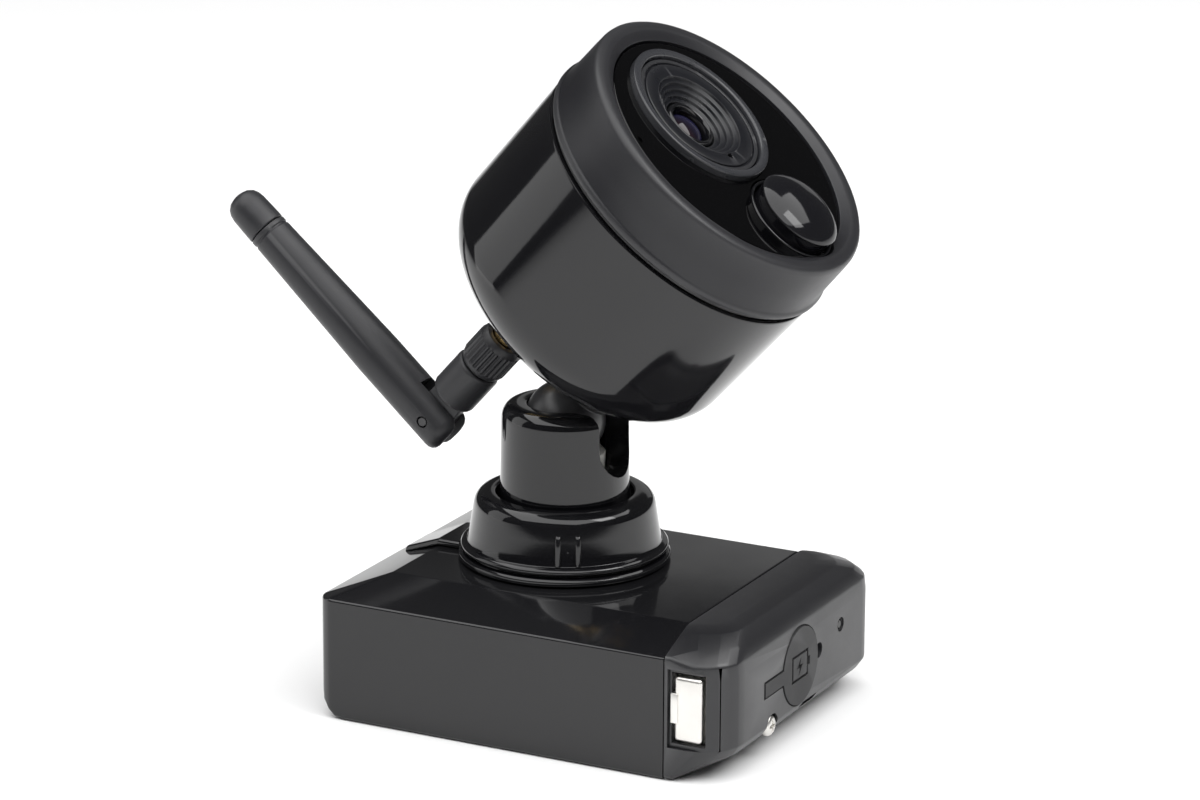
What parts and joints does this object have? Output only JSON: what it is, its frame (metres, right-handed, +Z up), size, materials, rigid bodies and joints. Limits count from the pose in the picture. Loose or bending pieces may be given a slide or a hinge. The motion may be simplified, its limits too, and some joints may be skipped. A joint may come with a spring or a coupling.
{
  "type": "battery security camera",
  "caption": "Cylindrical wireless camera with motion sensor and folding aerial on a ball mount, over a box base with a slide-out battery pack.",
  "frame": {"origin": "on the underside of the base, directly below the centre of the round mount flange", "axes": "+Z up out of the base; +X along the base towards the end face where the battery pack slides out, the way the lens faces; -Y is the side with the front latch"},
  "size_m": [0.1455, 0.077, 0.1486],
  "materials": {
    "gloss_black": "polished black moulding",
    "matte_black": "fine-textured black moulding",
    "soft_black": "soft black rubber",
    "smoked": "smoked polished acrylic",
    "nickel": "bright plated metal",
    "brass": "turned brass",
    "board_green": "circuit board",
    "wrap_blue": "shrink-wrapped cell",
    "lens_glass": "coated optical glass",
    "nylon_white": "natural nylon"
  },
  "bodies": {
    "base": {"base_housing": "gloss_black", "top_spine": "gloss_black", "contact_board": "board_green", "bay_contact_1": "brass", "bay_contact_2": "brass", "bay_contact_3": "brass", "mount_flange": "gloss_black", "mount_screw_1": "nickel", "mount_screw_2": "nickel", "mount_screw_3": "nickel", "mount_screw_4": "nickel"},
    "collar": {"lock_collar": "gloss_black"},
    "socket": {"ball_socket": "gloss_black", "ball_seat": "nylon_white", "seat_spring": "nickel", "socket_plug": "matte_black"},
    "stem": {"ball_stem": "matte_black", "stem_skirt": "soft_black"},
    "head": {"head_shell": "gloss_black", "front_ring": "matte_black", "ring_seal": "soft_black", "window_panel": "smoked", "microphone": "nickel", "lens_ring": "matte_black", "lens_baffle": "soft_black", "lens_barrel": "gloss_black", "lens_glass": "lens_glass", "image_sensor": "matte_black", "board_carrier": "matte_black", "image_board": "board_green", "infrared_led_1": "smoked", "infrared_led_2": "smoked", "motion_bezel": "smoked", "motion_dome": "smoked", "motion_holder": "matte_black", "motion_sensor": "nickel", "motion_board": "board_green", "stem_insert": "brass", "aerial_jack": "brass", "jack_washer": "nickel"},
    "aerial_coupling": {"aerial_nut": "matte_black"},
    "aerial_base": {"aerial_knuckle": "matte_black"},
    "aerial_arm": {"aerial_blade": "matte_black", "aerial_cap": "matte_black", "aerial_pin": "nickel"},
    "battery_pack": {"end_cap": "matte_black", "pack_tray": "matte_black", "battery_cell_1": "wrap_blue", "battery_cell_2": "wrap_blue", "battery_cell_3": "wrap_blue", "charge_board": "board_green", "charge_socket": "nickel", "charge_light": "nylon_white"},
    "front_latch": {"latch_front": "nickel"},
    "rear_latch": {"latch_rear": "nickel"},
    "cover": {"port_cover": "soft_black"},
    "screw": {"lock_screw": "nickel"}
  },
  "joints": [
    {"name": "collar_turn", "type": "hinge", "parent": "base", "child": "collar", "pos_m": [0, 0, 0.04], "axis": [0, 0, 1], "range_deg": [0, 300]},
    {"name": "socket_pan", "type": "hinge", "parent": "base", "child": "socket", "pos_m": [0, 0, 0.04], "axis": [0, 0, 1], "range_deg": [-90, 90]},
    {"name": "stem_tilt", "type": "hinge", "parent": "socket", "child": "stem", "pos_m": [0, 0, 0.0615], "axis": [0, 1, 0], "range_deg": [-12, 20]},
    {"name": "head_roll", "type": "hinge", "parent": "stem", "child": "head", "pos_m": [0, 0, 0.0615], "axis": [0.665, 0, 0.7469], "range_deg": [-30, 30]},
    {"name": "aerial_nut_turn", "type": "hinge", "parent": "head", "child": "aerial_coupling", "pos_m": [-0.02665, 0, 0.0637], "axis": [0.665, 0, 0.7469], "continuous": true},
    {"name": "aerial_swivel", "type": "hinge", "parent": "head", "child": "aerial_base", "pos_m": [-0.02665, 0, 0.0637], "axis": [0.665, 0, 0.7469], "range_deg": [-60, 60]},
    {"name": "aerial_fold", "type": "hinge", "parent": "aerial_base", "child": "aerial_arm", "pos_m": [-0.0321, 0, 0.05758], "axis": [0, -1, 0], "range_deg": [0, 90]},
    {"name": "pack_slide", "type": "slide", "parent": "base", "child": "battery_pack", "axis": [1, 0, 0], "range_m": [0, 0.07]},
    {"name": "latch_front_press", "type": "slide", "parent": "battery_pack", "child": "front_latch", "axis": [0, 1, 0], "range_m": [0, 0.0012], "stiffness_N_per_m": 400, "springref_m": -0.001},
    {"name": "latch_rear_press", "type": "slide", "parent": "battery_pack", "child": "rear_latch", "axis": [0, -1, 0], "range_m": [0, 0.0012], "stiffness_N_per_m": 400, "springref_m": -0.001},
    {"name": "port_cover_open", "type": "hinge", "parent": "battery_pack", "child": "cover", "pos_m": [0.0574, -0.0196, 0.016], "axis": [0, 0, -1], "range_deg": [0, 110]},
    {"name": "lock_screw_turn", "type": "hinge", "parent": "battery_pack", "child": "screw", "pos_m": [0.056, -0.0156, 0.0068], "axis": [1, 0, 0], "continuous": true}
  ]
}
